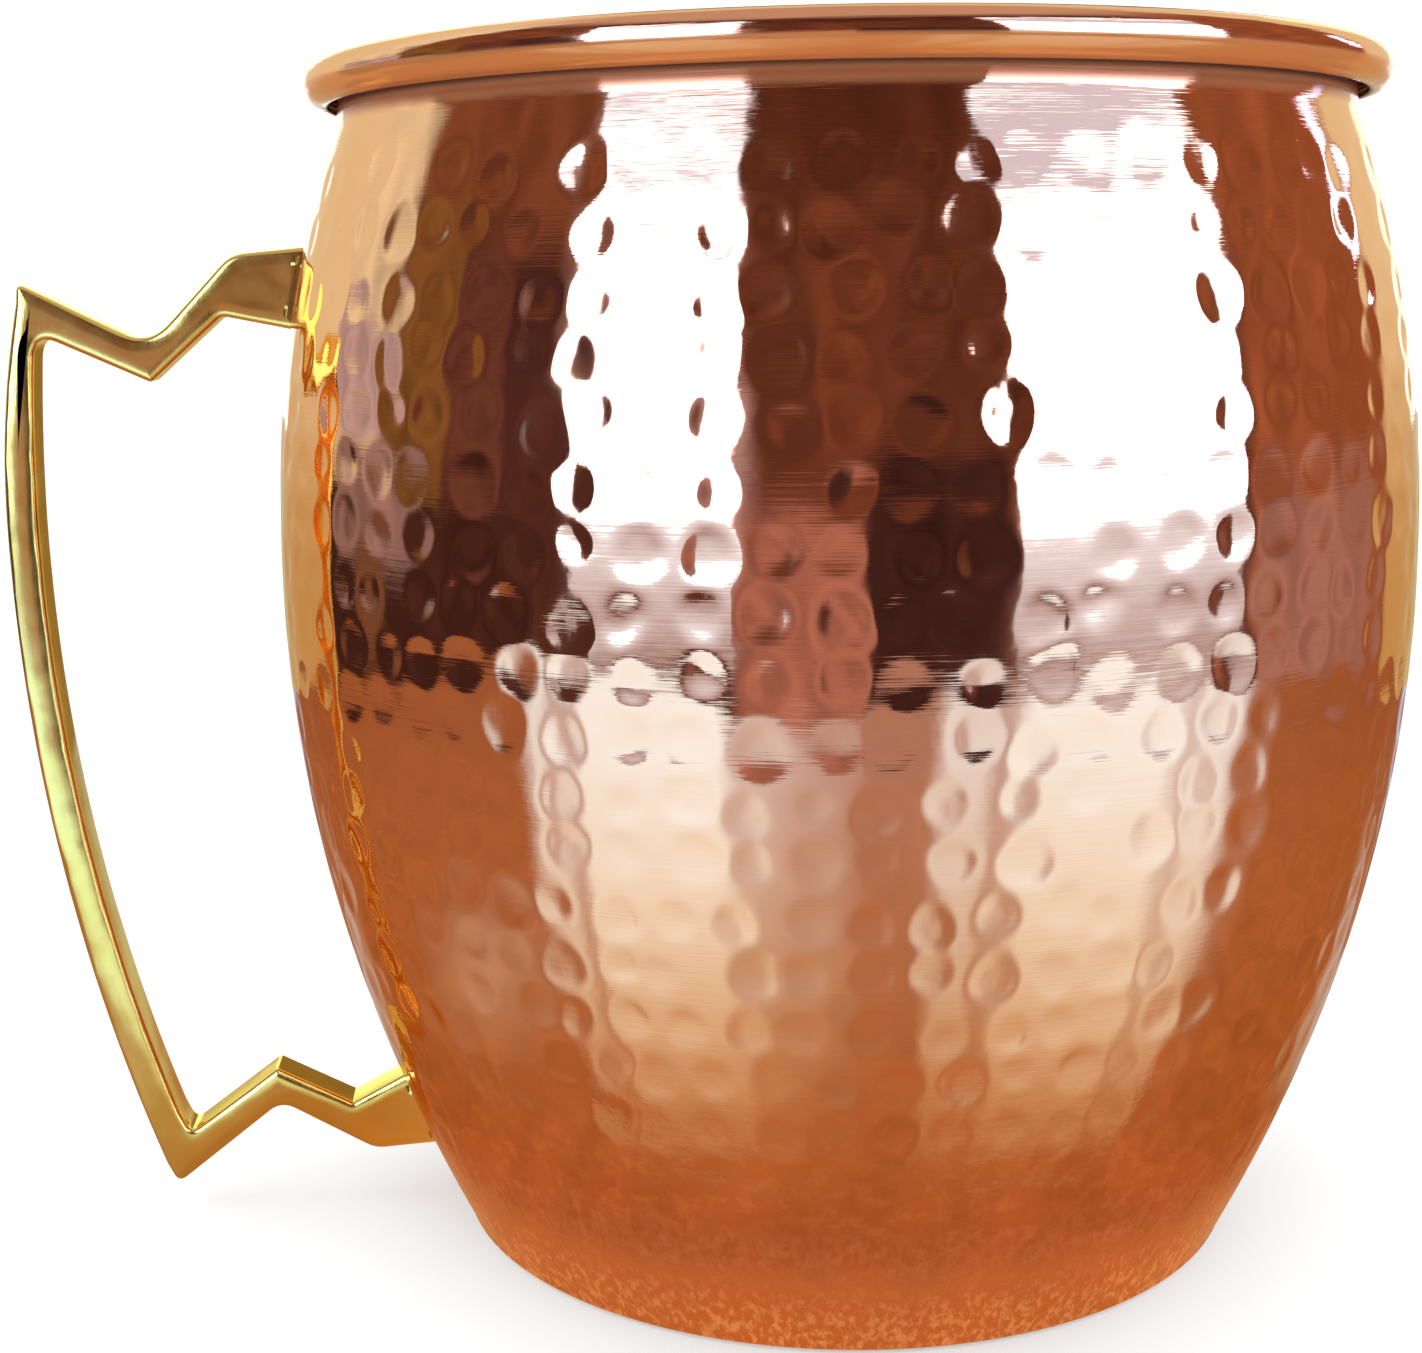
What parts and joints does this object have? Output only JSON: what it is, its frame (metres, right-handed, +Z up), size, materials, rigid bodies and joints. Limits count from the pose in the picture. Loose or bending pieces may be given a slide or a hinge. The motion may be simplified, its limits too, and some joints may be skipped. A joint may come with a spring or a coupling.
{
  "type": "copper mug",
  "caption": "Large barrel-shaped hammered copper mug with a rolled rim, a flat base and an angular cast brass side handle riveted through the wall.",
  "frame": {"origin": "centre of the flat base's underside, on the mug's axis", "axes": "+Z up along the mug's axis, the handle towards -X, +Y towards the back when the handle is on the left"},
  "size_m": [0.2445, 0.1976, 0.203],
  "materials": {
    "copper": "hammered and brushed copper, clear lacquered",
    "brass": "polished cast brass",
    "brass_fixings": "satin brass"
  },
  "bodies": {
    "root": {"body_shell": "copper", "handle": "brass", "upper_washer": "brass_fixings", "upper_rivet": "brass_fixings", "lower_washer": "brass_fixings", "lower_rivet": "brass_fixings"}
  },
  "joints": []
}
